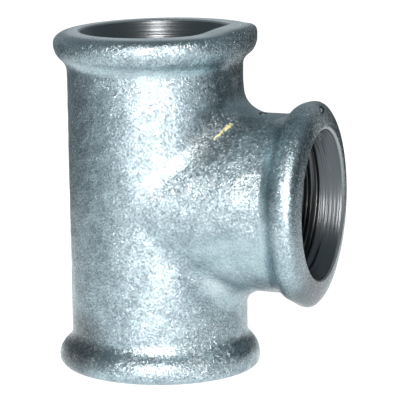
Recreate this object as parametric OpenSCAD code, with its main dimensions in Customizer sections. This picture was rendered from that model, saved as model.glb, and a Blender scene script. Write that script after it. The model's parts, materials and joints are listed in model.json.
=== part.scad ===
// Equal pipe tee, cast in one piece and galvanised, with an inside thread at each of its ports.
// The run stands along Z, the branch points along +X, and their axes cross at the origin.
// Ports are bored to the thread's minor diameter and grooved, and the casting is cored wider behind them.

/* [Threads] */
// Major diameter of the pipe thread
thread_major_d = 26.44; // [22:0.01:32]
// Depth of the thread, from its roots to its crests
thread_depth = 1.16; // [0.8:0.01:1.48]
// Distance along the axis from one turn of the thread to the next
thread_pitch = 1.814; // [1.6:0.001:2.5]
// Length of the full thread, from the end face inwards
thread_length = 11; // [6:0.5:18]
// Depth of the bored port, from the end face inwards: the tap stops short of it
bore_depth = 15; // [10:0.5:18]
// Radial room between the thread's roots and the rim of the chamfered mouth
mouth_clearance = 1.3; // [0.3:0.1:2]
// Radial room between the thread's roots and the cored chamber behind them
core_clearance = 0.3; // [0.1:0.1:1]

/* [Body] */
// From the crossing of the axes to each end face of the run
run_reach = 33; // [30:0.5:60]
// From the crossing of the axes to the end face of the branch
branch_reach = 33; // [30:0.5:60]
// Thickness of the wall round the cored chamber
wall = 3.5; // [2.5:0.1:5]
// Radius of the fillet where the branch leaves the run
saddle_r = 5; // [2:0.5:7]

/* [Beads] */
// How far the bead stands out from the barrel
bead_rise = 2.5; // [1:0.1:4]
// Radius of the bead's front edge, next to the end face
bead_front_r = 2.2; // [0.5:0.1:3]
// Radius of the bead's back
bead_back_r = 4; // [2.5:0.1:6]
// Radius of the hollow between the bead's back and the barrel
neck_r = 3; // [1.5:0.1:5]

/* [Hidden] */
$fn = 96;

zinc_grey = [0.56, 0.62, 0.65];

major_r = thread_major_d / 2;
minor_r = major_r - thread_depth;
mouth_r = major_r + mouth_clearance;
chamber_r = major_r + core_clearance;
barrel_r = chamber_r + wall;
bead_r = barrel_r + bead_rise;

// Along the axis, from the bead's crown to the foot of its neck: back and hollow are two tangent arcs
arcs = bead_back_r + neck_r;
neck_run = sqrt(pow(arcs, 2) - pow(arcs - bead_rise, 2));

// The flanks of a pipe thread make an angle of 55 degrees. What they leave of the pitch is shared by
// a flat on each crest and a flat in each root.
flank_slope = tan(55 / 2);
thread_flat = thread_pitch / 2 - thread_depth * flank_slope;

// How far a cut runs past the face that it opens
cut_over = 1;

// A ball rolled along both barrels leaves the saddle. It sits this much too deep, so that the
// fillet meets the barrels at a clean edge and sinks out of sight where the barrels are tangent.
saddle_sink = 0.03;
saddle_rings = 32;
saddle_steps = 8;
// Share of the angle at which the ball comes out of the wall, where the saddle's first ring lies
saddle_tuck = 0.9;

// Half outline of a port, solid to its axis, with its end face at the given reach
module port_outline(reach) {
  crown = reach - bead_front_r;
  foot = crown - neck_run;
  front_x = bead_r - bead_front_r;
  back_x = bead_r - bead_back_r;
  hollow_x = barrel_r + neck_r;
  square([barrel_r, reach]);
  translate([0, crown]) square([front_x, bead_front_r]);
  intersection() {
    translate([front_x, crown]) circle(bead_front_r);
    translate([front_x, crown]) square(bead_front_r);
  }
  intersection() {
    translate([back_x, crown]) circle(bead_back_r);
    translate([back_x, foot]) square([bead_back_r, neck_run]);
  }
  difference() {
    polygon([[back_x, crown], [hollow_x, foot], [back_x, foot]]);
    translate([hollow_x, foot]) circle(neck_r);
  }
}

// Half outline of the space in a port: cored chamber, plain bore and chamfered mouth
module port_space(reach) {
  bore_end = reach - bore_depth;
  polygon([
    [0, 0],
    [chamber_r, 0],
    [chamber_r, bore_end - (chamber_r - minor_r)],
    [minor_r, bore_end],
    [minor_r, reach - (mouth_r - minor_r)],
    [mouth_r + cut_over, reach + cut_over],
    [0, reach + cut_over]
  ]);
}

// Half outline of the grooves of a port's thread. A ring stands in for each turn of the helix, at whole
// pitches from the crossing of the axes.
module port_thread(reach) {
  half_width = thread_pitch / 2 - thread_flat / 2;
  first_turn = ceil((reach - thread_length) / thread_pitch);
  last_turn = floor(reach / thread_pitch);
  for (turn = [first_turn:last_turn])
    translate([0, turn * thread_pitch])
      polygon([
        [0, -half_width],
        [minor_r, -half_width],
        [major_r, -thread_flat / 2],
        [major_r, thread_flat / 2],
        [minor_r, half_width],
        [0, half_width]
      ]);
}

// A half outline turned round Z, at both ends of the run
module turned_run() {
  rotate_extrude() {
    children();
    mirror([0, 1]) children();
  }
}

// A half outline turned round the branch's axis
module turned_branch() {
  rotate([0, 90, 0]) rotate_extrude() children();
}

// Unit vector a share of the way from unit vector u to unit vector v, along the arc between them
function on_arc(u, v, share) =
  let (angle = acos(u * v))
  (sin((1 - share) * angle) * u + sin(share * angle) * v) / sin(angle);

// One ring of the saddle, at an angle round the crossing: a corner buried in the wall, then the
// ball's arc from the run to the branch
function saddle_ring(angle) =
  let (
    crossing = [sin(angle), -cos(angle), sin(angle)],
    off_run = [sin(angle), -cos(angle), 0],
    off_branch = [0, -cos(angle), sin(angle)],
    ball = (barrel_r + saddle_r - saddle_sink) * crossing
  )
  concat(
    [(barrel_r - wall / 2) * crossing],
    [for (i = [0:saddle_steps]) ball - saddle_r * on_arc(off_run, off_branch, i / saddle_steps)]
  );

// Fillet in the upper angle between run and branch, from one flank of the tee over to the other
module saddle() {
  emerges = acos(sqrt(cos(2 * acos(1 - saddle_sink / saddle_r))));
  start = saddle_tuck * emerges;
  ring_size = saddle_steps + 2;
  points = [
    for (k = [0:saddle_rings])
      each saddle_ring(start + (180 - 2 * start) * k / saddle_rings)
  ];
  skin = [
    for (k = [0:saddle_rings - 1], i = [0:ring_size - 1])
      let (here = k * ring_size, next = here + ring_size, j = (i + 1) % ring_size)
        each [[here + i, next + j, here + j], [here + i, next + i, next + j]]
  ];
  first_cap = [for (i = [0:ring_size - 1]) i];
  last_cap = [for (i = [ring_size - 1:-1:0]) saddle_rings * ring_size + i];
  polyhedron(points, concat([first_cap], skin, [last_cap]));
}

module tee_body() {
  color(zinc_grey)
    difference() {
      union() {
        turned_run() port_outline(run_reach);
        turned_branch() port_outline(branch_reach);
        saddle();
        mirror([0, 0, 1]) saddle();
      }
      turned_run() {
        port_space(run_reach);
        port_thread(run_reach);
      }
      turned_branch() {
        port_space(branch_reach);
        port_thread(branch_reach);
      }
    }
}

tee_body();
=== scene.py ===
# %% [markdown]
# # A galvanized pipe tee
# A tee joins three threaded pipes. It is one iron casting: a straight run with a branch on its side, and
# a rounded bead round each of the three ports that keeps the thin wall from splitting. After casting it
# is dipped in molten zinc, which freezes as a rough grey skin, and only then are the threads cut, down to
# bare metal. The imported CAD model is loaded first, as the frame that every size and place below is taken
# from.

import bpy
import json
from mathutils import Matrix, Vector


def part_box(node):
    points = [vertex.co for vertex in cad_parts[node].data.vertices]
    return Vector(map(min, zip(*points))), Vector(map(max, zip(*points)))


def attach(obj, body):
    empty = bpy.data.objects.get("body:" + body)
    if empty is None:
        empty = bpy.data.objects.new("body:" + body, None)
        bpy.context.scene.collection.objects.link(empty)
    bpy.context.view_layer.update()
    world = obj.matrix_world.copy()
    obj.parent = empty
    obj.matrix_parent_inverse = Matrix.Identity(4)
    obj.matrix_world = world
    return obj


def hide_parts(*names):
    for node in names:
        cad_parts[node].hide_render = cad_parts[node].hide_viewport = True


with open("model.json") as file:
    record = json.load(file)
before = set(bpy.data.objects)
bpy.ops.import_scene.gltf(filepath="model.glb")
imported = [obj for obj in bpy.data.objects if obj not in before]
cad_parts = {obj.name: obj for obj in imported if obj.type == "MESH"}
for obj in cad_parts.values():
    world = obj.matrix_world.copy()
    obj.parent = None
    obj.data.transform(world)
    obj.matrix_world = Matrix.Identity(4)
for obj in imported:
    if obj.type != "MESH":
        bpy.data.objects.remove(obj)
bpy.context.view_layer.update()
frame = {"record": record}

# %% [markdown]
# ## Sizes
# The CAD model gives the reach of the ports, the radius of the beads and the bore. The other sizes are
# those of a three-quarter inch fitting, in the same words as the CAD source: each radius is the one
# inside it plus a wall. "Along" is always the distance from the crossing of the axes, measured along a
# port's own axis.

# %% Sizes
import json
import math

import bpy
import numpy as np
from mathutils import Matrix, Vector

MM = 0.001
low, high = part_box("tee_body")
mounts = {mount["name"]: mount for mount in frame["record"]["mounts"]}

REACH = high.z
BEAD_R = -low.x
MINOR_R = mounts["upper_port"]["dims"]["r_mm"] * MM
THREAD_DEPTH = 1.16 * MM
THREAD_LENGTH = 11 * MM
BORE_DEPTH = 15 * MM
PITCH = 25.4 / 14 * MM
MAJOR_R = MINOR_R + THREAD_DEPTH
MOUTH_R = MAJOR_R + 1.3 * MM
CHAMBER_R = MAJOR_R + 0.3 * MM
BARREL_R = CHAMBER_R + 3.5 * MM
BEAD_RISE = BEAD_R - BARREL_R
SADDLE_R = 5 * MM
BEAD_FRONT_R = 2.2 * MM
BEAD_BACK_R = 4 * MM
NECK_R = 3 * MM

# The back of the bead and the hollow of its neck are two tangent arcs, and this is the angle where they meet.
NECK_ANGLE = math.acos(1 - BEAD_RISE / (BEAD_BACK_R + NECK_R))
CROWN = REACH - BEAD_FRONT_R
FOOT = CROWN - (BEAD_BACK_R + NECK_R) * math.sin(NECK_ANGLE)
print(f"barrel {BARREL_R / MM:.2f} mm, bead {BEAD_R / MM:.2f} mm, neck from {FOOT / MM:.2f} mm along")

# %% [markdown]
# ## The camera
# The photograph was taken from a little above and a little to the right of the front, with a long lens,
# so the edges of the run stay nearly parallel. A camera could be aimed by eye. Here its angles, its
# distance and its lens were fitted to the outline of the tee, so the render can be laid over the
# photograph.

# %% Camera
IMAGE_WIDTH = 400
FOCAL_PIXELS = 2303
SENSOR = 36.0
CAMERA_AZIMUTH = math.radians(18.733)
CAMERA_ELEVATION = math.radians(10.81)
CAMERA_ROLL = math.radians(-0.777)
CAMERA_DISTANCE = 26.173 * BARREL_R
CAMERA_RIGHT = 0.4781 * BARREL_R
CAMERA_UP = -0.0385 * BARREL_R


def towards(azimuth, elevation):
    """Unit vector from the crossing to a far point: azimuth turns from front to right, elevation lifts."""
    level = math.cos(elevation)
    return Vector((math.sin(azimuth) * level, -math.cos(azimuth) * level, math.sin(elevation)))


back = towards(CAMERA_AZIMUTH, CAMERA_ELEVATION)
level_right = Vector((0, 0, 1)).cross(back).normalized()
level_up = back.cross(level_right)
lens_right = math.cos(CAMERA_ROLL) * level_right + math.sin(CAMERA_ROLL) * level_up
lens_up = math.cos(CAMERA_ROLL) * level_up - math.sin(CAMERA_ROLL) * level_right

camera = bpy.data.objects.new("camera", bpy.data.cameras.new("camera"))
camera.data.sensor_width = SENSOR
camera.data.lens = FOCAL_PIXELS * SENSOR / IMAGE_WIDTH
turned = Matrix((lens_right, lens_up, back)).transposed().to_4x4()
place = back * CAMERA_DISTANCE + lens_right * CAMERA_RIGHT + lens_up * CAMERA_UP
camera.matrix_world = Matrix.Translation(place) @ turned
bpy.context.scene.collection.objects.link(camera)
bpy.context.scene.camera = camera
print(f"camera {place.length:.3f} m away with a {camera.data.lens:.0f} mm lens")

# %% [markdown]
# ## One port as a grid
# The whole skin of the tee could be cut from cylinders with booleans, which leaves long thin triangles
# that shade badly and can't be dented. Instead each port is one grid: columns run round its axis, and
# rows run from the seam with the other two ports, out over the barrel and the bead, across the end face,
# and back in through the thread to the seam inside. Three such grids share their first and last rows and
# close the skin.

# %% Columns round a port
COLUMNS = 192
turn = 2 * np.pi * np.arange(COLUMNS) / COLUMNS
# Turn 0 faces the front. "side" points to the branch on the run's ports, and up on the branch.
side = np.round(np.sin(turn), 9)
front = np.round(np.cos(turn), 9)


def rings(along, radius):
    """Rows of circles: each has its place along the axis and its radius, which may change round the turn."""
    along, radius = np.broadcast_arrays(along, radius * np.ones(COLUMNS))
    return np.stack([along, radius * side, -radius * front], axis=-1)


print(f"{COLUMNS} columns, {2 * np.pi * BARREL_R / COLUMNS / MM:.2f} mm apart on the barrel")

# %% [markdown]
# ## Barrel and saddle
# Where the branch leaves the run, the mould has a soft inside corner. A bevel on a boolean edge could
# imitate it, but the corner here runs out to nothing at the front and back, where the two barrels are
# tangent. So the corner is what a ball leaves that rolls along both barrels: its place and its arc come
# from one formula for all columns.

# %% Barrel rows
BARREL_ROWS = 48


def barrel_rows(forked):
    """Points from the seam to the foot of the neck, on columns that are forked (meet another barrel) or not.

    The ball's centre is a ball's radius outside both barrels. The skin is the shorter arc on the ball between
    the two contact points, found by turning one contact normal into the other. A row is a share of the way
    along half that arc and then along the straight line to the neck. Columns that aren't forked are straight.
    """
    share = np.linspace(0, 1, BARREL_ROWS)[:, None]
    lean = np.abs(side)
    angle = np.arccos(np.clip(front**2, -1, 1))
    half_arc = SADDLE_R * angle / 2
    straight = FOOT - (BARREL_R + SADDLE_R) * lean
    walked = share * (half_arc + straight)
    rolled = np.clip(0.5 - walked / np.maximum(SADDLE_R * angle, 1e-9), 0, 0.5)
    own = (1 - rolled) * np.sinc((1 - rolled) * angle / np.pi) / np.sinc(angle / np.pi)
    other = rolled * np.sinc(rolled * angle / np.pi) / np.sinc(angle / np.pi)
    centre = BARREL_R + SADDLE_R
    along = lean * (centre - SADDLE_R * other) + np.maximum(walked - half_arc, 0)
    across = side * (centre - SADDLE_R * own)
    depth = -front * (centre - SADDLE_R * (own + other))
    return np.where(
        forked[None, :, None],
        np.stack([along, across, depth], axis=-1),
        rings(share * FOOT, BARREL_R),
    )


print(f"saddle meets the barrel {(BARREL_R + SADDLE_R) / MM:.2f} mm along, at its deepest")

# %% [markdown]
# ## Bead
# The bead is a rolled edge: a hollow neck, a long round back and a tighter nose that rolls over to a
# narrow flat land round the mouth. Hand-rammed moulds aren't even, so on the run's beads the nose is
# nearly square on one side and rounder on the other. An arc can't do that, but a superellipse can: its
# power says how square the corner is, and 2 is a plain ellipse. The mouths were cut a little wider than
# the CAD model's, and the branch's is widest on its far side, so its nose rolls nearly all the way to it.

# %% Bead rows
NECK_ROWS, BACK_ROWS, FRONT_ROWS = 6, 8, 10
RUN_WIDER, BRANCH_WIDER = 0.35 * MM, 0.8 * MM
far_side = (0.5 - 0.5 * np.cos(turn)) ** 2
near_side = (0.5 + 0.5 * np.cos(turn)) ** 2
RUN_MOUTH = MOUTH_R + RUN_WIDER
BRANCH_MOUTH = MOUTH_R + BRANCH_WIDER * far_side
BRANCH_LAND = 0.2 * MM
RUN_NOSE = 3.8 * MM
BRANCH_NOSE = BEAD_R - BRANCH_MOUTH - BRANCH_LAND
BRANCH_PROUD = 0.2 * MM
SQUARE_TURN = math.radians(108.7)
ROUND_POWER, SQUARE_POWER = 2.25, 4.5
RUN_POWER = ROUND_POWER + (SQUARE_POWER - ROUND_POWER) * (0.5 + 0.5 * np.cos(turn - SQUARE_TURN)) ** 2
FAR_POWER, NEAR_POWER = 2.0, 3.5
BRANCH_POWER = FAR_POWER + (NEAR_POWER - FAR_POWER) * near_side


def bead_rows(power, nose_width, proud):
    """Points from the foot of the neck over the bead to the end face: hollow arc, round back, rolled nose.

    The nose's quarter turn has its sine and cosine raised to 2 over the power, which squares the corner.
    Proud is how far the end face stands out past the reach of the CAD model.
    """
    hollow = np.linspace(0, NECK_ANGLE, NECK_ROWS + 1)[1:, None]
    neck = rings(FOOT + NECK_R * np.sin(hollow), BARREL_R + NECK_R * (1 - np.cos(hollow)))
    fall = np.linspace(NECK_ANGLE, 0, BACK_ROWS + 1)[1:, None]
    crest = rings(CROWN - BEAD_BACK_R * np.sin(fall), BEAD_R - BEAD_BACK_R * (1 - np.cos(fall)))
    roll = np.linspace(0, np.pi / 2, FRONT_ROWS + 1)[1:, None]
    rise = np.clip(np.sin(roll), 0, 1) ** (2 / power)
    reach = np.clip(np.cos(roll), 0, 1) ** (2 / power)
    nose = rings(CROWN + (BEAD_FRONT_R + proud) * rise, BEAD_R - nose_width * (1 - reach))
    return np.concatenate([neck, crest, nose])


print(f"nose {RUN_NOSE / MM:.1f} mm wide on the run and up to {BRANCH_NOSE.max() / MM:.1f} mm on the branch")

# %% [markdown]
# ## End face, thread and chamber
# The threads are the sharpest thing on the tee. They could be bump in the material, but their crests cut
# the outline of the mouth and hide one another, so they are geometry: a radius that rises and falls as a
# wave of the place along the axis less the turn, which makes the wave climb one pitch each time round.
# The chamfered mouth and the wide chamber behind are cones and a cylinder, and where they overlap the
# wider one wins. Each column's rows slide a little so that they always fall on the crests and the roots.

# %% Bore rows
FACE_ROWS, EDGE_ROWS, CHAMBER_ROWS = 3, 4, 10
ROWS_PER_PITCH = 8
RUN_EDGE = 0.6 * MM
LEAST_EDGE, EDGE_GROWTH = 0.3 * MM, 0.7
BRANCH_EDGE = LEAST_EDGE + EDGE_GROWTH * (BRANCH_MOUTH - MOUTH_R)
RUN_SLOPE, BRANCH_SLOPE = 0.45, 0.5
CREST_SHARPNESS = 0.9
SLIDE_FADE = 5
CHAMBER_END = REACH - BORE_DEPTH - (CHAMBER_R - MINOR_R)


def bore_radius(along, climb, slope, mouth_r, soft, end):
    """Largest of three: a round-topped saw of the helix's phase, the mouth's cone and the chamber's run-out.

    The saw grows from nothing to its full depth over the first turn, where the tap stopped. The cone starts
    at the mouth's radius less the radius of its soft edge, and narrows by the slope for each step inwards.
    """
    phase = 2 * np.pi * (along / PITCH - climb * turn / (2 * np.pi))
    saw = np.arcsin(CREST_SHARPNESS * np.cos(phase)) / np.arcsin(CREST_SHARPNESS)
    tapped = np.clip((along - (REACH - THREAD_LENGTH)) / PITCH, 0, 1)
    thread = MINOR_R + tapped * THREAD_DEPTH * (0.5 + 0.5 * saw)
    mouth = mouth_r - soft - slope * (end - soft - along)
    run_out = CHAMBER_R - (along - CHAMBER_END)
    return np.maximum(np.maximum(thread, mouth), run_out)


def bore_rows(forked, climb, slope, mouth_r, soft, nose_width, proud):
    """Points from the bead's front, over the end face and its soft edge, in through the thread to the seam.

    Climb is 1 or -1, so that the thread is right-handed in a port frame that may be a mirror image. Slope is
    how much the mouth's cone narrows for each step inwards, and soft is the radius of the mouth's edge.
    """
    end = REACH + proud
    inwards = np.linspace(0, 1, FACE_ROWS + 1)[1:, None]
    face = rings(end, (1 - inwards) * (BEAD_R - nose_width) + inwards * mouth_r)
    bend = np.linspace(0, np.pi / 2, EDGE_ROWS + 1)[1:, None]
    edge = rings(end - soft * (1 - np.cos(bend)), mouth_r - soft * np.sin(bend))
    count = int((REACH - CHAMBER_END) / PITCH * ROWS_PER_PITCH)
    row = np.arange(1, count)[:, None]
    straight = end - soft - row * (end - soft - CHAMBER_END) / count
    step = PITCH / ROWS_PER_PITCH
    grid = np.round(straight / step - climb * turn / (2 * np.pi) * ROWS_PER_PITCH)
    helix = (grid + climb * turn / (2 * np.pi) * ROWS_PER_PITCH) * step
    slide = np.clip(np.minimum(row - 1, count - 1 - row) / SLIDE_FADE, 0, 1)
    along = straight + slide * (helix - straight)
    thread = rings(along, bore_radius(along, climb, slope, mouth_r, soft, end))
    inward = np.linspace(0, 1, CHAMBER_ROWS + 1)[:, None]
    seam = np.where(forked, CHAMBER_R * np.abs(side), 0)
    chamber = rings(CHAMBER_END + inward * (seam - CHAMBER_END), CHAMBER_R)
    return np.concatenate([face, edge, thread, chamber]), len(face), len(edge), len(thread)


print(f"thread pitch {PITCH / MM:.3f} mm, crest to root {THREAD_DEPTH / MM:.2f} mm")

# %% [markdown]
# ## Three ports, one skin
# The upper and lower ports meet round the back of the run, and each meets the branch along the saddle.
# Their seam rows have the same points by construction, so they are joined by number and not by a search
# for doubles: nothing can be missed. Two of the three port frames are mirror images, so their faces are
# wound the other way.

# %% Joining the ports
X, Y, Z = np.eye(3)
# For each port: its axis, its first cross axis, the thread's climb, the cone's slope, the mouth's radius, the
# radius of its edge, the nose's power, the nose's width, and how far the end face stands proud
PORTS = {
    "upper": (Z, X, 1, RUN_SLOPE, RUN_MOUTH, RUN_EDGE, RUN_POWER, RUN_NOSE, 0),
    "lower": (-Z, X, -1, RUN_SLOPE, RUN_MOUTH, RUN_EDGE, RUN_POWER, RUN_NOSE, 0),
    "branch": (X, Z, -1, BRANCH_SLOPE, BRANCH_MOUTH, BRANCH_EDGE, BRANCH_POWER, BRANCH_NOSE, BRANCH_PROUD),
}


def port_grid(name):
    """World points of one port, row by row, and each row's band, in the order of BARREL to CHAMBER below.

    Only the outer half of the mouth's edge is a band of its own: hands and pipes rub it pale. The inner half
    looks like the thread.
    """
    axis, across, climb, slope, mouth_r, soft, power, nose_width, proud = PORTS[name]
    forked = (side > 0) if name != "branch" else np.ones(COLUMNS, bool)
    inside, faces, edges, threads = bore_rows(forked, climb, slope, mouth_r, soft, nose_width, proud)
    local = np.concatenate([barrel_rows(forked), bead_rows(power, nose_width, proud), inside])
    rows = np.arange(len(local))
    rubbed = edges // 2
    starts = np.cumsum(
        [BARREL_ROWS, NECK_ROWS, BACK_ROWS, FRONT_ROWS, faces, rubbed, edges - rubbed + threads]
    )
    return local @ np.stack([axis, across, Y]), np.searchsorted(starts, rows, side="right")


grids = {name: port_grid(name) for name in PORTS}
ROWS = len(grids["upper"][1])
numbers = np.arange(3 * ROWS * COLUMNS).reshape(3, ROWS, COLUMNS)
mirror_column = -np.arange(COLUMNS) % COLUMNS
for seam in (0, ROWS - 1):
    upper, lower = numbers[:2, seam].copy()
    numbers[1, seam] = np.where(side > 0, lower, upper)
    numbers[2, seam] = np.where(side > 0, upper, np.where(side < 0, lower[mirror_column], upper))
kept, numbers = np.unique(numbers, return_inverse=True)
numbers = numbers.reshape(3, ROWS, COLUMNS)
points = np.concatenate([grid.reshape(-1, 3) for grid, _ in grids.values()])[kept]
band = np.concatenate([np.repeat(row_band, COLUMNS) for _, row_band in grids.values()])[kept]
port = np.repeat(np.arange(3), ROWS * COLUMNS)[kept]
shift = np.roll(numbers, -1, axis=2)
quads = np.stack([numbers[:, :-1], shift[:, :-1], shift[:, 1:], numbers[:, 1:]], axis=-1)
quads[1:] = quads[1:, ..., ::-1]
quads = quads.reshape(-1, 4)
print(f"{len(points)} points and {len(quads)} quads, {2 * len(quads)} triangles")

# %% [markdown]
# ## An uneven casting
# A cast skin is never a true cylinder. The sand swells and sags over centimetres, and zinc pools in soft
# lumps of a few millimetres. Sculpting by hand would be one way, and a Displace modifier another. Here
# the points move along their normals by a sum of many plane waves in random directions, which has no
# seams and the same size of lump everywhere. The machined end faces and threads don't move.

# %% Casting unevenness
BARREL, NECK, BACK, NOSE, FACE, EDGE_BAND, THREAD, CHAMBER = range(8)
SEED = 20
WAVES = 40
SAG, SAG_SHORTEST, SAG_LONGEST = 0.06 * MM, 9 * MM, 24 * MM
LUMP, LUMP_SHORTEST, LUMP_LONGEST = 0.02 * MM, 1.8 * MM, 4.5 * MM


def normals_of(places, corners):
    """Unit normal of each point: the sum of its faces' normals, each the cross product of two diagonals."""
    first = places[corners[:, 2]] - places[corners[:, 0]]
    second = places[corners[:, 3]] - places[corners[:, 1]]
    flat = np.repeat(np.cross(first, second), 4, axis=0)
    total = np.stack(
        [np.bincount(corners.ravel(), flat[:, k], len(places)) for k in range(3)], axis=-1
    )
    return total / np.linalg.norm(total, axis=1, keepdims=True)


def waves(places, shortest, longest, random):
    """Sum of plane waves of random direction, length and phase, scaled so that its typical size is 1."""
    length = random.uniform(shortest, longest, WAVES)
    heading = random.normal(size=(3, WAVES))
    heading *= 2 * np.pi / length / np.linalg.norm(heading, axis=0)
    phase = random.uniform(0, 2 * np.pi, WAVES)
    return np.cos(places @ heading + phase).sum(axis=1) * math.sqrt(2 / WAVES)


random = np.random.default_rng(SEED)
normals = normals_of(points, quads)
cast = np.isin(band, [BARREL, NECK, BACK]).astype(float)
to_face = REACH - np.abs(points).max(axis=1)
cast = np.where(band == NOSE, np.clip(to_face / BEAD_FRONT_R, 0, 1), cast)
push = cast * SAG * waves(points, SAG_SHORTEST, SAG_LONGEST, random)
push += cast * LUMP * waves(points, LUMP_SHORTEST, LUMP_LONGEST, random)
print(f"skin moves by {push.min() / MM:.2f} to {push.max() / MM:.2f} mm")

# %% [markdown]
# ## Lumps and hollows seen in the photograph
# Some faults belong to this casting alone: a lump of zinc frozen on the right of the upper rim, a flat on
# the run below it, another under the branch's bead, and a pit and a notch on top of the branch. Each is a
# bell-shaped push with a centre, a reach and a height. The lump grew upwards as the zinc drained, so it
# is pushed up, and the others along the skin's normals. Two ends are also askew: the upper one drops
# towards the front left, and the branch's is turned a little, with its far side out and its near side in.

# %% Lumps and hollows
PIT, NOTCH = (32.4, 1.1, 17.9), (21.6, -0.7, 17.0)
# Centre, reach and height in millimetres, and whether the push is straight up
LUMPS = {
    "rim lump": ((16.0, -0.5, 33.0), 8.0, 0.95, True),
    "flat under the rim": ((17.0, 1.0, 24.5), 6.0, -0.38, False),
    "pit on the branch's bead": (PIT, 0.8, -0.35, False),
    "notch behind the branch's bead": (NOTCH, 0.7, -0.30, False),
    "flat under the branch's bead": ((28.0, -7.0, -17.8), 3.2, -0.36, False),
}


def bell(centre, reach):
    """1 round the centre and near 0 past the reach: e to the minus (distance over reach) to the fourth."""
    away = np.linalg.norm(points - np.array(centre) * MM, axis=1) / (reach * MM)
    return np.exp(-(away**4))


solid = (band < EDGE_BAND).astype(float)
top = np.clip((points[:, 2] - CROWN) / BEAD_FRONT_R, 0, 1)
moved = push[:, None] * normals
for centre, reach, height, upwards in LUMPS.values():
    weight = height * MM * bell(centre, reach)
    moved += (weight * top)[:, None] * Z if upwards else (solid * weight)[:, None] * normals

UPPER_LEAN, BRANCH_LEAN = 0.6 * MM, 0.18 * MM
LEAN_START, LEAN_FULL = 20 * MM, 27 * MM
FRONT_LEFT = np.array([-0.5, -0.866, 0])
towards_left = points @ FRONT_LEFT / BEAD_R
lifted = np.clip((points[:, 2] - LEAN_START) / (LEAN_FULL - LEAN_START), 0, 1)
moved -= (UPPER_LEAN * lifted * (0.5 + 0.5 * towards_left))[:, None] * Z
drawn = np.clip((points[:, 0] - LEAN_START) / (LEAN_FULL - LEAN_START), 0, 1)
moved += (BRANCH_LEAN * drawn * points[:, 1] / BEAD_R)[:, None] * X
points = points + moved
print(f"{len(LUMPS)} single lumps and hollows, and the upper end leans by {UPPER_LEAN / MM} mm")

# %% [markdown]
# ## The mesh
# from_pydata takes the points and the quads. Eight numbers per point go along for the material, since
# only the script knows which row of a port a point came from. Vertex paint would be the way by hand.
# "cut" is 1 where a tool bared the steel, "worn" on the rubbed edge of the mouth, and "oily" on the
# branch, whose bore is also painted darker deeper in, as shade. "depth" is how far in from the end face a
# point is, in millimetres, for the rings that the tool left and for that painted shade. "calm" is where
# the zinc ran smooth, as in the necks, "rugged" where it froze in coarse wrinkles, and two more mark
# where shade and highlights are painted into the colour, darker or paler.

# %% The tee
# The rim is a painted highlight on the edge at the run's two ends, and the lip is a wider ring of painted
# shade at all three.
RIM, LIP = 0.25 * MM, 1.4 * MM
LIP_PAINTED_SHADE = 0.3
NECK_CALM, LOWER_NECK_CALM, SPOT_CALM = 0.9, 0.35, 0.85
CALM_SPOTS = [((18, -14.8, -8), 5), ((22.5, -15, -8), 5), ((17.5, -9, -14.5), 5.5), ((18, -4, 16), 6)]
# Each place below has a centre and a reach in millimetres, and an amount.
# Places where shade is painted into the colour, which is darker there by the amount.
PAINTED_SHADE_SPOTS = [
    ((16, -0.5, 33), 8, 0.7),
    ((14.8, -10.8, 13.2), 5.5, 0.8),
    ((15.6, -6.8, 19.4), 7, 0.5),
    ((17.2, 1.5, 26.8), 5.5, 1.0),
    ((31, -8, -17.5), 8, 1.3),
    ((-12, -14, -27.5), 7, 1.45),
    ((13.0, -12.8, 11.6), 3.2, 0.3),
    ((15.5, -6, -23), 8, 0.12),
    ((33, 5, -17), 7, 0.7),
]
# Places where highlights and sheen are painted into the colour, which is paler there by the amount.
PAINTED_HIGHLIGHT_SPOTS = [
    ((17.5, -11, -13), 4.2, 0.42),
    ((33, -2, 15.8), 4.5, 0.45),
    ((33, 5, 14.2), 3.5, 0.3),
    ((27, -4.5, 16.7), 2.2, 0.4),
    ((16.8, -2.1, 23), 1.6, 0.3),
]
RUGGED_SPOTS = [
    ((-12, -14, -27.5), 7, 0.7),
    ((15, -12, -27), 7, 1.0),
    ((16, -0.5, 33), 8, 1.0),
    ((0, -17, 32), 11, 0.3),
    ((32, 0, 18.5), 7, 1.0),
    ((15.6, -6.8, 19.4), 7, 0.25),
    ((17.2, 1.5, 26.8), 6, 0.8),
    ((20.5, -9.5, 14.0), 6, 0.6),
    ((14.0, -12.0, 12.5), 4, 0.5),
]


def patches(spots):
    """Sum of each place's amount times its bell."""
    return sum(amount * bell(centre, reach) for centre, reach, amount in spots)


# Painted shade and painted highlights, as an amount at each point
painted_shade = patches(PAINTED_SHADE_SPOTS)
rugged = patches(RUGGED_SPOTS)
calm = np.isin(band, [NECK]) * np.where(port == 1, LOWER_NECK_CALM, NECK_CALM)
for centre, reach in CALM_SPOTS:
    calm = np.maximum(calm, SPOT_CALM * bell(centre, reach))
calm = calm * (1 - np.clip(rugged, 0, 1))
cut = np.isin(band, [THREAD]).astype(float)
worn = np.isin(band, [EDGE_BAND]).astype(float)
to_end = to_face + np.where(port == 2, BRANCH_PROUD, 0)
on_front = np.isin(band, [NOSE, FACE])
# The rim gets a painted highlight and the lip painted shade.
rim = (port < 2) * on_front * np.clip(1 - to_end / RIM, 0, 1)
painted_shade = painted_shade + LIP_PAINTED_SHADE * on_front * np.clip(1 - to_end / LIP, 0, 1)
painted_highlight = np.maximum(rim, patches(PAINTED_HIGHLIGHT_SPOTS))
depth = (REACH - np.where(port == 2, points[:, 0], np.abs(points[:, 2]))) / MM

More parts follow.
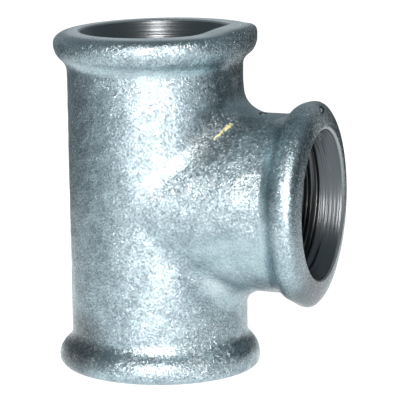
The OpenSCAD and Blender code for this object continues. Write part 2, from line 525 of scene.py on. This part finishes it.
mesh = bpy.data.meshes.new("tee")
mesh.from_pydata(points.tolist(), [], quads.tolist())
mesh.shade_smooth()
oily = (port == 2).astype(float)
looks = {
    "cut": cut,
    "calm": calm,
    "oily": oily,
    "depth": depth,
    "painted_shade": painted_shade,
    "rugged": rugged,
    "worn": worn,
    "painted_highlight": painted_highlight,
}
for name, values in looks.items():
    mesh.attributes.new(name, "FLOAT", "POINT").data.foreach_set("value", values.astype(np.float32))
tee = bpy.data.objects.new("tee", mesh)
bpy.context.scene.collection.objects.link(tee)
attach(tee, "root")
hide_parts("tee_body")
print(f"tee mesh valid: {not mesh.validate()}, {len(mesh.vertices)} points")

# %% [markdown]
# ## Formulas for shaders
# A material is a graph of nodes, and long sums of Math nodes are hard to read. The small class below
# wraps one output socket, so that a formula in Python adds the nodes for it: `1 - mask` adds a Subtract
# node.

# %% A socket in a formula
class Wire:
    """An output socket that can be used in a formula; each operator adds the node that works it out."""

    def __init__(self, tree, socket=None):
        self.tree = tree
        self.socket = socket

    def node(self, kind, settings=None, sockets=None, output=0):
        """Add any node: its settings first, then the values or links of its sockets. Gives one output."""
        made = self.tree.nodes.new(kind)
        for name, value in (settings or {}).items():
            setattr(made, name, value)
        for name, value in (sockets or {}).items():
            if isinstance(value, Wire):
                self.tree.links.new(value.socket, made.inputs[name])
            else:
                made.inputs[name].default_value = value
        return Wire(self.tree, made.outputs[output])

    def sum_of(self, operation, first, second):
        """A Math node on two numbers or sockets."""
        return self.node("ShaderNodeMath", {"operation": operation}, {0: first, 1: second})

    def __add__(self, other):
        return self.sum_of("ADD", self, other)

    def __radd__(self, other):
        return self.sum_of("ADD", other, self)

    def __sub__(self, other):
        return self.sum_of("SUBTRACT", self, other)

    def __rsub__(self, other):
        return self.sum_of("SUBTRACT", other, self)

    def __mul__(self, other):
        return self.sum_of("MULTIPLY", self, other)

    def __rmul__(self, other):
        return self.sum_of("MULTIPLY", other, self)

    def step(self, start, end):
        """0 up to start, 1 from end on, and smooth between them."""
        values = {"Value": self, "From Min": start, "From Max": end}
        return self.node("ShaderNodeMapRange", {"interpolation_type": "SMOOTHSTEP"}, values)

    def colour(self, first, second):
        """A colour that goes from the first to the second as this number goes from 0 to 1."""
        settings = {"data_type": "RGBA", "clamp_factor": True}
        return self.node("ShaderNodeMix", settings, {0: self, 6: first, 7: second}, 2)

    def noise(self, size, detail=2.0, sharp=0.5, twist=0.0):
        """Cloudy noise whose blotches are about this big, in metres; twist draws them out into wrinkles."""
        values = {"Vector": self, "Scale": 1 / size, "Detail": detail}
        values |= {"Roughness": sharp, "Distortion": twist}
        return self.node("ShaderNodeTexNoise", {"noise_dimensions": "3D"}, values, "Fac")


def new_material(name):
    """A material with its Principled shader, and a wire to start formulas from."""
    made = bpy.data.materials.new(name)
    made.use_nodes = True
    return made, made.node_tree.nodes["Principled BSDF"], Wire(made.node_tree)


print("formulas for shaders are ready")

# %% [markdown]
# ## Galvanized iron
# Zinc that freezes on rough iron is wrinkled at less than a millimetre, and it is a mirror of sorts:
# nearly all of its light and dark is the studio, broken up by those wrinkles. A picture of zinc wrapped
# round the tee would have seams and fixed lights, so all of it is noise in the tee's own space. Three
# sizes of noise are the height for a Bump node. The middle one is also creased: less its mean and without
# its sign it has sharp valleys, like a skin that shrank. The colour runs from slate to a pale blue grey,
# with speckled places and a thin yellow mark. Some light is painted into it too: shade in some places and
# highlights in others, and in two holes painted shade with a painted glint. The cut threads are bare
# oily steel, darker and without wrinkles, and deep in the branch's bore painted darker still, as shade.

# %% Zinc
ZINC_SLATE = (0.178, 0.252, 0.288, 1)
ZINC_PALE = (0.405, 0.535, 0.59, 1)
ZINC_CALM = (0.38, 0.515, 0.55, 1)
ZINC_PIT = (0.175, 0.22, 0.245, 1)
# Colour of painted shade
ZINC_PAINTED_SHADE = (0.09, 0.122, 0.137, 1)
# Painted shade inside the two holes, and their painted glint
HOLE_PAINTED_SHADE = (0.012, 0.014, 0.016, 1)
HOLE_PAINTED_GLINT = (0.85, 0.93, 0.97, 1)
ZINC_SPECK = (0.80, 0.84, 0.86, 1)
# Colour of painted highlights
ZINC_PAINTED_HIGHLIGHT = (0.80, 0.90, 0.93, 1)
WORN_EDGE = (0.32, 0.35, 0.36, 1)
CUT_STEEL = (0.092, 0.110, 0.121, 1)
OILY_STEEL = (0.090, 0.109, 0.120, 1)
# Painted shade deep in the branch's bore
DEEP_STEEL_PAINTED_SHADE = (0.08, 0.09, 0.095, 1)
MARK_YELLOW = (0.60, 0.62, 0.32, 1)
MARK_START = (15.07, -10.78, 13.53)
MARK_END = (17.52, -7.28, 15.93)
MARK_NORMAL = (0.32, -0.69, 0.65)
MARK_HALF_WIDTH, MARK_WIDENING, MARK_RAGGED = 0.22, 0.06, 1.1
POOL_SIZE, POOL_HEIGHT = 1.7 * MM, 0.04
WRINKLE_SIZE, WRINKLE_HEIGHT, CREASE_HEIGHT = 0.75 * MM, 0.06, 0.21
GRAIN_SIZE, GRAIN_HEIGHT = 0.27 * MM, 0.09
RING_SCALE, RING_HEIGHT = 2.4, 0.11
CLOUD_SIZE, CLOUD_SHARE = 3.0 * MM, 0.45
SPECKLE_SIZE, SPECKLE_SHARE = 0.45 * MM, 0.55
PIT_SIZE, SPECK_SIZE = 0.36 * MM, 0.5 * MM
CALM_MIX, PAINTED_SHADE_MIX, SPECK_MIX = 0.4, 0.65, 0.4
HOLE_REACH = 0.9
CALM_WRINKLES, CALM_GRAIN, RUGGED_WRINKLES = 0.8, 0.1, 1.3
LEAST_ROUGH, NOISE_ROUGH, CUT_ROUGH, WORN_ROUGH = 0.21, 0.12, 0.06, 0.20

zinc, shader, wire = new_material("galvanized_iron")
here = wire.node("ShaderNodeTexCoord", output="Object")
is_cut = wire.node("ShaderNodeAttribute", {"attribute_name": "cut"}, output="Fac")
is_calm = wire.node("ShaderNodeAttribute", {"attribute_name": "calm"}, output="Fac")
is_oily_and_shaded = wire.node("ShaderNodeAttribute", {"attribute_name": "oily"}, output="Fac")
depth_in = wire.node("ShaderNodeAttribute", {"attribute_name": "depth"}, output="Fac")
is_painted_shade = wire.node("ShaderNodeAttribute", {"attribute_name": "painted_shade"}, output="Fac")
is_worn = wire.node("ShaderNodeAttribute", {"attribute_name": "worn"}, output="Fac")
is_painted_highlight = wire.node("ShaderNodeAttribute", {"attribute_name": "painted_highlight"}, output="Fac")
is_rugged = wire.node("ShaderNodeAttribute", {"attribute_name": "rugged"}, output="Fac")
wrinkled = (1 - is_cut) * (1 - CALM_WRINKLES * is_calm) * (1 + RUGGED_WRINKLES * is_rugged) * (1 - is_worn)
grainy = (1 - is_cut) * (1 - CALM_GRAIN * is_calm)

# Heights in millimetres of pools, wrinkles, grain and tool rings
pools = here.noise(POOL_SIZE, 1, 0.5) - 0.5
wrinkles = here.noise(WRINKLE_SIZE, 3, 0.55, 1.2) - 0.5
creases = wire.node("ShaderNodeMath", {"operation": "ABSOLUTE"}, {0: wrinkles})
grain = here.noise(GRAIN_SIZE, 1, 0.5) - 0.5
ring_values = {"W": depth_in, "Scale": RING_SCALE, "Detail": 3.0}
rings_cut = wire.node("ShaderNodeTexNoise", {"noise_dimensions": "1D"}, ring_values) - 0.5
skin = POOL_HEIGHT * pools + WRINKLE_HEIGHT * wrinkles + CREASE_HEIGHT * creases
height = wrinkled * skin + grainy * GRAIN_HEIGHT * grain + is_cut * RING_HEIGHT * rings_cut
bumped = wire.node("ShaderNodeBump", None, {"Height": height, "Distance": MM, "Strength": 1.0}, "Normal")

clouds = here.noise(CLOUD_SIZE, 3, 0.6).step(0.30, 0.66)
speckles = here.noise(SPECKLE_SIZE, 2, 0.6).step(0.3, 0.7)
mottle = CLOUD_SHARE * clouds + SPECKLE_SHARE * speckles
tone = mottle.colour(ZINC_SLATE, ZINC_PALE)
pits = (1 - here.noise(PIT_SIZE, 2, 0.6).step(0.30, 0.50)) * (1 - 0.7 * is_calm)
tone = pits.colour(tone, ZINC_PIT)
tone = (CALM_MIX * is_calm).colour(tone, ZINC_CALM)
# Painted shade darkens the colour, and painted highlights make it paler.
tone = (PAINTED_SHADE_MIX * is_painted_shade).colour(tone, ZINC_PAINTED_SHADE)
tone = is_painted_highlight.colour(tone, ZINC_PAINTED_HIGHLIGHT)
specks = here.noise(SPECK_SIZE, 2, 0.6, 1.0).step(0.52, 0.66) * is_rugged
tone = (SPECK_MIX * specks).colour(tone, ZINC_SPECK)
# Distances along Y count for less, so the two holes are drawn out from front to back.
drawn_out = Vector((1, 0.6, 1))
squeezed = wire.node("ShaderNodeVectorMath", {"operation": "MULTIPLY"}, {0: here, 1: drawn_out})
# In each hole the colour is painted dark as shade, with a painted glint in the middle.
for hole in (PIT, NOTCH):
    values = {0: squeezed, 1: Vector(a * b * MM for a, b in zip(hole, drawn_out))}
    away = wire.node("ShaderNodeVectorMath", {"operation": "DISTANCE"}, values, "Value")
    dark = 1 - away.step(0.7 * HOLE_REACH * MM, 1.1 * HOLE_REACH * MM)
    tone = dark.colour(tone, HOLE_PAINTED_SHADE)
    tone = (1 - away.step(0.36 * MM, 0.44 * MM)).colour(tone, HOLE_PAINTED_GLINT)
tone = is_worn.colour(tone, WORN_EDGE)
steel = is_oily_and_shaded.colour(CUT_STEEL, OILY_STEEL)
# Deeper in the branch's bore the steel is painted darker, as shade.
steel = (is_oily_and_shaded * depth_in.step(2.0, 6.0)).colour(steel, DEEP_STEEL_PAINTED_SHADE)
tone = is_cut.colour(tone, steel)
rough = LEAST_ROUGH + NOISE_ROUGH * here.noise(0.8 * MM, 3, 0.6) + CUT_ROUGH * is_cut + WORN_ROUGH * is_worn

# A thin yellow mark in the corner above the branch: a short slab along the skin, thin across it and ragged
mark_line = Vector(MARK_END) - Vector(MARK_START)
mark_side = mark_line.cross(Vector(MARK_NORMAL)).normalized()
start_values = {0: here, 1: Vector(MARK_START) * MM}
from_start = wire.node("ShaderNodeVectorMath", {"operation": "SUBTRACT"}, start_values)


def measured(direction):
    """How far a point is from the start of the mark in one direction, in millimetres."""
    values = {0: from_start, 1: direction / MM}
    return wire.node("ShaderNodeVectorMath", {"operation": "DOT_PRODUCT"}, values, "Value")


def within(distance, limit, soft):
    """1 where a distance is between plus and minus the limit, and 0 outside, with a soft edge."""
    return (distance + limit).step(0, soft) * (limit - distance).step(0, soft)


ragged = MARK_RAGGED * (here.noise(0.5 * MM, 3) - 0.5)
half_length = mark_line.length / 2
along_mark = measured(mark_line.normalized())
mark_width = MARK_HALF_WIDTH + MARK_WIDENING * along_mark
is_mark = within(measured(mark_side) + ragged, mark_width, 0.2)
is_mark = is_mark * within(along_mark - half_length, half_length + 0.2, 0.3)
is_mark = is_mark * here.noise(0.35 * MM, 2).step(0.34, 0.46)
is_mark = is_mark * within(measured(Vector(MARK_NORMAL).normalized()), 2.0, 0.5)
tone = is_mark.colour(tone, MARK_YELLOW)
metal = 1 - 0.8 * is_mark

links = wire.tree.links
links.new(tone.socket, shader.inputs["Base Color"])
links.new(rough.socket, shader.inputs["Roughness"])
links.new(bumped.socket, shader.inputs["Normal"])
links.new(metal.socket, shader.inputs["Metallic"])
tee.data.materials.append(zinc)
print(f"{zinc.name}: {len(wire.tree.nodes)} nodes")

# %% [markdown]
# ## Floor
# Metal shows its surroundings, so the studio is part of its looks. A plain white sheet under one lamp turns
# grey away from it. So this floor also glows, but only for the camera and in reflections: it is white in
# the picture and in the metal, and keeps a soft shadow.

# %% Floor
FLOOR_RADIUS = 3.0
FLOOR_CORNERS = 96
FLOOR_GLOW = 0.85
FLOOR_WHITE = (0.58, 0.58, 0.58, 1)

around = 2 * np.pi * np.arange(FLOOR_CORNERS) / FLOOR_CORNERS
floor_edge = np.stack([np.cos(around), np.sin(around), np.zeros(FLOOR_CORNERS)], axis=-1) * FLOOR_RADIUS
floor_mesh = bpy.data.meshes.new("floor")
floor_mesh.from_pydata((floor_edge + [0, 0, low.z]).tolist(), [], [list(range(FLOOR_CORNERS))])
floor = bpy.data.objects.new("floor", floor_mesh)
bpy.context.scene.collection.objects.link(floor)

paper, shader, wire = new_material("paper")
shader.inputs["Base Color"].default_value = FLOOR_WHITE
shader.inputs["Roughness"].default_value = 1.0
shader.inputs["Specular IOR Level"].default_value = 0.0
seen = wire.node("ShaderNodeLightPath", output="Is Camera Ray")
seen = seen + wire.node("ShaderNodeLightPath", output="Is Glossy Ray")
seen = seen + wire.node("ShaderNodeLightPath", output="Is Transmission Ray")
plain = Wire(wire.tree, shader.outputs["BSDF"])
glow = wire.node("ShaderNodeEmission", None, {"Color": (1, 1, 1, 1), "Strength": FLOOR_GLOW})
lit = wire.node("ShaderNodeAddShader", None, {0: plain, 1: glow})
mixed = wire.node("ShaderNodeMixShader", None, {0: seen, 1: plain, 2: lit})
wire.tree.links.new(mixed.socket, wire.tree.nodes["Material Output"].inputs["Surface"])
floor.data.materials.append(paper)
print(f"floor at {low.z / MM:.1f} mm")

# %% [markdown]
# ## Sky
# The sky lights the tee from all sides. A photograph of a studio could be wrapped round the scene, but
# two tones are enough here: pale at the horizon, and darker overhead, which darkens the upper sides of
# the beads.

# %% Sky
SKY_HORIZON = (0.75, 0.80, 0.85, 1)
SKY_TOP = (0.32, 0.355, 0.37, 1)

world = bpy.data.worlds.new("studio")
world.use_nodes = True
bpy.context.scene.world = world
wire = Wire(world.node_tree)
heading = wire.node("ShaderNodeTexCoord", output="Generated")
lift = wire.node("ShaderNodeSeparateXYZ", None, {"Vector": heading}, "Z")
sky = lift.step(0.02, 0.35).colour(SKY_HORIZON, SKY_TOP)
wire.tree.links.new(sky.socket, world.node_tree.nodes["Background"].inputs["Color"])
print("sky from pale to dark")

# %% [markdown]
# ## Felt
# In an all-white studio a shiny grey thing has no edges. Photographers stand dark cards beside it, just
# out of the picture, and the metal mirrors them as dark bands. Here the card is a horseshoe of felt round
# the back, seen by reflections alone. It fades out towards the front, and it is greyer on the left, as
# the bands are.

# %% Felt
FELT_RADIUS = 0.15
FELT_CENTRE = 0.03
FELT_HEIGHT = 0.08
FELT_ENDS, FELT_SOLID = math.radians(150), math.radians(95)
FELT_COLUMNS = 64
FELT_LEFT = (0.175, 0.21, 0.225, 1)
FELT_RIGHT = (0.035, 0.046, 0.051, 1)

felt_turn = np.linspace(-FELT_ENDS, FELT_ENDS, FELT_COLUMNS)
felt_arc = np.stack([np.sin(felt_turn), np.cos(felt_turn), np.zeros(FELT_COLUMNS)], axis=-1)
felt_foot = felt_arc * FELT_RADIUS + [FELT_CENTRE, 0, low.z]
strip = np.concatenate([felt_foot, felt_foot + [0, 0, FELT_HEIGHT]])
first = np.arange(FELT_COLUMNS - 1)
panels = np.stack([first, first + 1, first + 1 + FELT_COLUMNS, first + FELT_COLUMNS], axis=-1)
felt_mesh = bpy.data.meshes.new("felt")
felt_mesh.from_pydata(strip.tolist(), [], panels.tolist())
felt = bpy.data.objects.new("felt", felt_mesh)
felt.visible_camera = False
felt.visible_diffuse = False
felt.visible_shadow = False
bpy.context.scene.collection.objects.link(felt)

dark_felt, shader, wire = new_material("dark_felt")
shader.inputs["Roughness"].default_value = 1.0
spot = wire.node("ShaderNodeTexCoord", output="Object")
behind = wire.node("ShaderNodeSeparateXYZ", None, {"Vector": spot}, "Y")
rightwards = wire.node("ShaderNodeSeparateXYZ", None, {"Vector": spot}, "X")
shade = rightwards.step(-FELT_RADIUS / 2, FELT_RADIUS / 2).colour(FELT_LEFT, FELT_RIGHT)
wire.tree.links.new(shade.socket, shader.inputs["Base Color"])
cover = behind.step(FELT_RADIUS * math.cos(FELT_ENDS), FELT_RADIUS * math.cos(FELT_SOLID))
wire.tree.links.new(cover.socket, shader.inputs["Alpha"])
felt.data.materials.append(dark_felt)
print(f"felt {FELT_RADIUS} m round the back")

# %% [markdown]
# ## Lamp
# One lamp stands beside the camera. A square one would leave a square patch of light on a round bar. A
# tall slim one leaves a long narrow highlight down the run, and its warm colour offsets the blue of the
# zinc.

# %% Lamp
LAMP_AZIMUTH = math.radians(15)
LAMP_ELEVATION = math.radians(21)
LAMP_AWAY = 0.62
LAMP_WIDTH, LAMP_HEIGHT = 0.08, 0.42
LAMP_WATTS = 7.0
LAMP_COLOUR = (1.0, 0.84, 0.78)

lamp = bpy.data.objects.new("lamp", bpy.data.lights.new("lamp", "AREA"))
lamp.data.shape = "RECTANGLE"
lamp.data.size = LAMP_WIDTH
lamp.data.size_y = LAMP_HEIGHT
lamp.data.energy = LAMP_WATTS
lamp.data.color = LAMP_COLOUR
beam = towards(LAMP_AZIMUTH, LAMP_ELEVATION)
lamp_turn = beam.to_track_quat("Z", "Y").to_matrix().to_4x4()
lamp.matrix_world = Matrix.Translation(beam * LAMP_AWAY) @ lamp_turn
bpy.context.scene.collection.objects.link(lamp)
bpy.context.scene.view_settings.view_transform = "Standard"
print(f"lamp {LAMP_WATTS} W")
